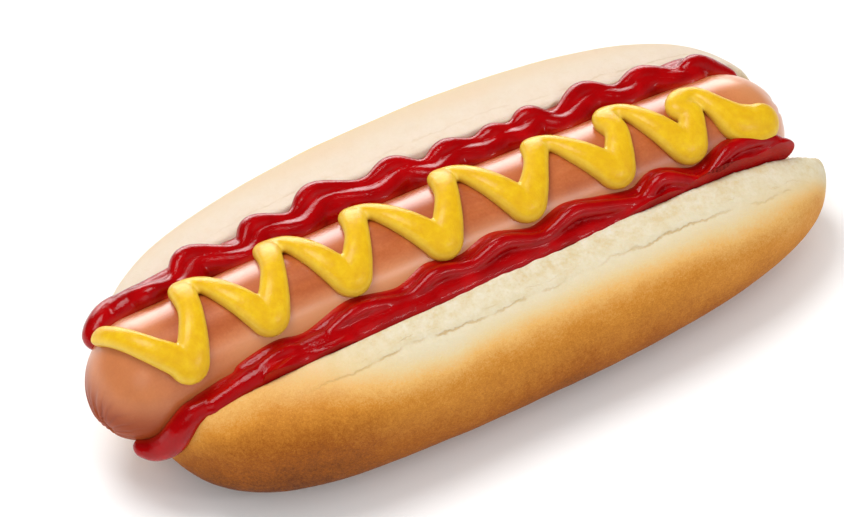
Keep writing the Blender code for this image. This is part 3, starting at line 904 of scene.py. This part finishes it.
def makeNearKetchup():
    near = nearKetchup
    rim, body, under, film = [], [], [], []
    for x, edge in near["edge"]:
        fall = near["fall"] * max(x - near["fallFrom"], 0)
        across = edge - near["rimInset"]
        height = near["rimHeight"] + near["rimClimb"] * (across - near["rimLevel"]) - fall
        crest = groovePoint(x, across, height)
        rim.append((*crest, near["rimRadius"] + near["rimSwell"] * (edge - near["thinEdge"])))
        angle = math.degrees(math.atan2(crest.z - axisZ(x), crest.y - axisY(x)))
        under.append((x, angle, near["underLift"], near["underRadius"]))
        across = near["bodyAcross"] + near["bodyFollow"] * (edge - near["edgeMiddle"])
        height = near["bodyHeight"] - near["bodySink"] * (edge - near["edgeMiddle"]) - fall
        body.append((*groovePoint(x + near["bodyShift"], across, height), near["bodyRadius"]))
        angle = near["filmAngle"] - (edge - near["filmLevel"]) * near["filmTurn"]
        film.append((x - near["filmShift"], angle, -near["filmSink"], near["filmRadius"]))
    filling = []
    for x in np.linspace(*near["fillingX"]):
        narrowing = bun["frontSpread"] * x
        radius = near["fillingRadius"] - 0.3 * narrowing
        radius = radius + near["fillingWave"] * math.sin(x * near["waves"])
        share = min(max((x - near["fillingX"][0]) / near["slimOver"], 0), 1)
        slim = near["slimShare"] + (1 - near["slimShare"]) * share
        height = axisZ(x) + near["fillingLift"] - near["sag"] * max(near["sagFrom"] - x, 0)
        filling.append((x, -(near["fillingY"] - 0.5 * narrowing), height, radius * slim))
    seal = []
    for x in np.linspace(*near["sealX"]):
        angle = near["sealAngle"] + near["sealTurn"] * max(near["sealFrom"] - x, 0)
        seal.append((x, angle, near["sealLift"], near["sealRadius"]))
    wave = near["drip"] + rim + near["right"]
    under, seal, film = (laidOnSkin(rows) for rows in (under, seal, film[1:-1]))
    return makeKetchup("ketchupFrontBead", [wave, body, under, filling, seal, film], True)


def wetKetchup():
    finish = Finish("wetKetchup")
    fine = finish.grain(1900, 3, 0.6)
    deep = finish.ramp(finish.grain(240, 3), ketchup["tones"])
    thin = (0.6 * finish.attribute("thin")).clamp()
    finish.feed({
        "Base Color": finish.mix(thin, deep, shade(*ketchup["thinTone"])),
        "Roughness": 0.07 + 0.10 * fine, "Specular IOR Level": 0.19,
        "Coat Weight": 0.08, "Coat Roughness": 0.04,
        "Normal": finish.bump(0.5 * fine + 0.5 * finish.grain(700, 2), 0.32, 0.0004),
    })
    return finish


# the mustard, one string laid to and fro over the top

mustard = {
    # place along the sausage, angle round it and radius
    "firstStroke": [
        (-0.0816, 44.0, 0.0022), (-0.0803, 69.0, 0.0023), (-0.0784, 90.0, 0.0025),
        (-0.0756, 109.0, 0.0028),
    ],
    # then a pool at the front and a knee at the back by turns: place and angle
    "turns": [
        (-0.0695, 136.0), (-0.0623, 60.0), (-0.0502, 127.5), (-0.0421, 54.0),
        (-0.0309, 125.0), (-0.0232, 62.0), (-0.0100, 127.5), (-0.0021, 59.0),
        (0.0098, 125.0), (0.0181, 71.0), (0.0306, 127.0), (0.0360, 67.0),
        (0.0474, 130.0), (0.0516, 83.0),
    ],
    # rows to add at each place: along, degrees and share of the radius
    "pool": [(-0.0021, -9, 0.88), (-0.0002, 0, 1.0)], "poolRadius": 0.0038,
    "knee": [(-0.0002, 0, 0.95)], "kneeRadius": 0.0028,
    "overhang": 0.0008, "lean": 0.6, "leanFrom": 0.0065, "overAngle": 8,
    "neck": (0.0028, 3, 0.0019), "fall": (0.0004, -3, 0.0027),
    "rise": [(0.15, 0.0035), (0.34, 0.0030), (0.60, 0.0026)], "riseBulge": 0.0009,
    "lastFall": (0.0052, 23), "end": (0.0676, 126.0), "lastRadius": 0.0045,
    "last": [(-0.0082, -2, 0.92), (-0.0045, 7, 1.0), (0.0, -1, 0.96)],
    "lift": 0.0021, "sink": 0.38,  # a fat stretch sits lower on the skin
    "softTop": 0.0042,  # the string settles to less than this height
    "grain": 0.00034, "smooth": 5,
    "tones": [(0.34, (211, 160, 0)), (0.50, (217, 170, 0)), (0.64, (223, 181, 8))],
    # the rim tone is a painted highlight along the string's edges
    "edgeHighlightTone": (236, 208, 96),
}


def rowsAt(x, angle, rows, radius):
    return [(x + along, angle + degrees, share * radius) for along, degrees, share in rows]


def mustardRows():
    rows = list(mustard["firstStroke"])
    x0, angle0, _ = rows[-1]
    fallAlong, fallDegrees, fallRadius = mustard["fall"]
    neckAlong, neckDegrees, neckRadius = mustard["neck"]
    for i, (x, angle) in enumerate(mustard["turns"]):
        if i % 2 == 0:  # falls to a pool at the front
            if i > 0:
                middle = ((x0 + x) / 2 + fallAlong, (angle0 + angle) / 2 + fallDegrees)
                rows.append((*middle, fallRadius))
            rows += rowsAt(x, angle, mustard["pool"], mustard["poolRadius"])
        else:  # rises to a knee at the back and folds over
            for share, radius in mustard["rise"]:
                bulge = 4 * share * (1 - share) * mustard["riseBulge"]
                place = x0 + share * (x - x0) + bulge
                rows.append((place, angle0 + share * (angle - angle0), radius))
            overhang = mustard["overhang"] + mustard["lean"] * max(mustard["leanFrom"] - (x - x0), 0)
            rows.append((x - overhang, angle + mustard["overAngle"], mustard["kneeRadius"]))
            rows += rowsAt(x, angle, mustard["knee"], mustard["kneeRadius"])
            rows.append((x + neckAlong, angle + neckDegrees, neckRadius))
        x0, angle0 = x, angle
    rows += rowsAt(x0, angle0, [(*mustard["lastFall"], 1.0)], fallRadius)
    return rows + rowsAt(*mustard["end"], mustard["last"], mustard["lastRadius"])


def paintFlow(string, points, path, radii):
    # how far along the string each point is, and how far across it
    tree = KDTree(len(path))
    for i, place in enumerate(path):
        tree.insert(place, i)
    tree.balance()
    last = len(path) - 1
    ahead = [(path[min(i + 1, last)] - path[max(i - 1, 0)]).normalized() for i in range(last + 1)]
    run = np.concatenate([[0], np.cumsum([(b - a).length for a, b in zip(path, path[1:])])])
    flow, across = [], []
    for p in points:
        place, i, _ = tree.find(p)
        offset = Vector(p) - place
        up = Vector((0, place.y - axisY(place.x), place.z - axisZ(place.x))).normalized()
        flow.append(run[i] + offset.dot(ahead[i]))
        across.append(offset.dot(ahead[i].cross(up)) / radii[i])
    paint(string, "flow", flow)
    paint(string, "across", across)


def makeMustard():
    path, radii = [], []
    for x, angle, radius in smoothPath(mustardRows()):
        path.append(onSkin(x, angle, mustard["lift"] - mustard["sink"] * radius))
        radii.append(radius)
    string = makeTube("mustardZigzag", path, radii)
    remesh(string, mustard["grain"], mustard["smooth"])
    points = getPoints(string)
    x, y, z = points.T
    spoke = np.stack([np.zeros(len(x)), y - axisY(x), z - axisZ(x)], axis=1)
    reach = np.linalg.norm(spoke, axis=1)
    lift = reach - skinReach(x)
    settled = mustard["softTop"] * np.tanh(lift / mustard["softTop"])
    points = points + spoke * (np.where(lift > 0, settled - lift, 0) / reach)[:, None]
    setPoints(string, points)
    paintFlow(string, points, path, radii)
    shadeSmooth(string)
    return string


def creamyMustard():
    finish = Finish("creamyMustard")
    across = finish.attribute("across")
    sockets = {"X": finish.attribute("flow") * 90, "Y": across * 1.6}
    streak = finish.grain(1.0, 3, 0.6, finish.node("ShaderNodeCombineXYZ", {}, sockets))
    cloud = finish.grain(520, 4, 0.6)
    fine = finish.grain(2400, 2)
    body = finish.ramp(0.3 * streak + 0.7 * cloud, mustard["tones"])
    # painted highlight: the edges of the string are mixed towards a pale cream
    rim = finish.band(abs(across), 0.55, 1.05)
    height = 0.15 * streak + 0.3 * fine + 0.5 * finish.grain(1100, 2)
    finish.feed({
        "Base Color": finish.mix(0.40 * rim, body, shade(*mustard["edgeHighlightTone"])),
        "Roughness": 0.34 + 0.14 * (fine - 0.5), "Specular IOR Level": 0.24,
        "Coat Weight": 0.10, "Coat Roughness": 0.2,
        "Normal": finish.bump(height, 0.30, 0.0004),
        "Subsurface Weight": 0.15, "Subsurface Radius": (1.0, 0.7, 0.15),
        "Subsurface Scale": 0.002,
    })
    return finish


bunLoaf = makeBun()
print("bun", len(bunLoaf.data.polygons))
sausageLink = makeSausage()
print("sausage", len(sausageLink.data.polygons))
ketchupBack = makeFarKetchup()
ketchupFront = makeNearKetchup()
print("ketchup", len(ketchupBack.data.polygons), len(ketchupFront.data.polygons))
mustardBead = makeMustard()
print("mustard", len(mustardBead.data.polygons))

bakedCrust().onto(bunLoaf)
sausageSkin().onto(sausageLink)
ketchupFinish = wetKetchup()
ketchupFinish.onto(ketchupBack)
ketchupFinish.onto(ketchupFront)
creamyMustard().onto(mustardBead)
print("finishes on")

for piece, node, slot in (
    (bunLoaf, "bun", "bun"),
    (sausageLink, "sausage", "sausage"),
    (ketchupBack, "ketchup_back", "ketchup"),
    (ketchupFront, "ketchup_front", "ketchup"),
    (mustardBead, "mustard", "mustard"),
):
    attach(piece, "root")
    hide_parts(node)
print("pieces ride on root")

# floor, lights, sky and camera

studio = {
    "floorSize": 4.0, "floorZ": -0.0002, "floorTone": (0.98, 0.98, 0.98, 1.0),
    "lights": [  # name, place, size and power
        ("keyLight", (-0.16, 0.27, 0.95), 0.50, 5.2),
        ("fillLight", (-0.60, -0.45, 0.60), 0.5, 0.9),
        ("sparkLight", (0.30, -0.62, 0.52), 0.12, 0.65),
    ],
    "skyForSurfaces": 0.75, "skyForGloss": 0.06,
    # direction of each panel, its strength, and the cosines where it starts and is full
    "panels": [((0.33, 0.93, 0.13), 8.0, 0.86, 0.98), ((0.33, -0.86, 0.42), 0.6, 0.55, 0.98)],
    "lens": 334.4, "sensor": 36.0, "distance": 1.6, "azimuth": -30.0, "elevation": 48.0,
    "target": (-0.00878, 0.00358, 0.01884), "clipStart": 0.01,
}


def makeFloor():
    deselectAll()
    bpy.ops.mesh.primitive_plane_add(size=studio["floorSize"], location=(0, 0, studio["floorZ"]))
    floor = bpy.context.object
    floor.name = "floor"
    finish = Finish("paleFloor")
    finish.feed({"Base Color": studio["floorTone"], "Roughness": 0.6, "Specular IOR Level": 0.2})
    finish.onto(floor)


def makeLight(name, place, size, power):
    deselectAll()
    bpy.ops.object.light_add(type="AREA", location=place)
    light = bpy.context.object
    light.name = name
    light.data.shape = "DISK"
    light.data.size = size
    light.data.energy = power
    light.rotation_euler = (-Vector(place)).to_track_quat("-Z", "Y").to_euler()


def makeCamera():
    azimuth, elevation = math.radians(studio["azimuth"]), math.radians(studio["elevation"])
    back = Vector((
        math.sin(azimuth) * math.cos(elevation),
        -math.cos(azimuth) * math.cos(elevation),
        math.sin(elevation),
    ))
    bpy.ops.object.camera_add(location=Vector(studio["target"]) + back * studio["distance"])
    camera = bpy.context.object
    camera.rotation_euler = (-back).to_track_quat("-Z", "Y").to_euler()
    camera.data.lens = studio["lens"]
    camera.data.sensor_width = studio["sensor"]
    camera.data.clip_start = studio["clipStart"]
    bpy.context.scene.camera = camera


def makeSky():
    # an even pale sky, with two soft panels that only glossy skins pick up
    world = bpy.data.worlds.new("studioWorld")
    bpy.context.scene.world = world
    world.use_nodes = True
    tree = world.node_tree
    outlook = Wire(addNode(tree, "ShaderNodeTexCoord", {}, {}).outputs["Generated"])
    glossy = Wire(addNode(tree, "ShaderNodeLightPath", {}, {}).outputs["Is Glossy Ray"])
    strength = studio["skyForGloss"]
    for direction, power, low, high in studio["panels"]:
        sockets = {0: outlook, 1: Vector(direction).normalized()}
        facing = addNode(tree, "ShaderNodeVectorMath", {"operation": "DOT_PRODUCT"}, sockets)
        sockets = {"Value": Wire(facing.outputs["Value"]), "From Min": low, "From Max": high}
        panel = addNode(tree, "ShaderNodeMapRange", {"interpolation_type": "SMOOTHSTEP"}, sockets)
        strength = strength + Wire(panel.outputs["Result"]) * power
    strength = studio["skyForSurfaces"] * (1.0 - glossy) + strength * glossy
    background = tree.nodes["Background"]
    plug(background.inputs["Strength"], strength)
    plug(background.inputs["Color"], (1.0, 1.0, 1.0, 1.0))


makeFloor()
for name, place, size, power in studio["lights"]:
    makeLight(name, place, size, power)
makeCamera()
makeSky()
bpy.context.scene.view_settings.view_transform = "Standard"
print("studio ready")
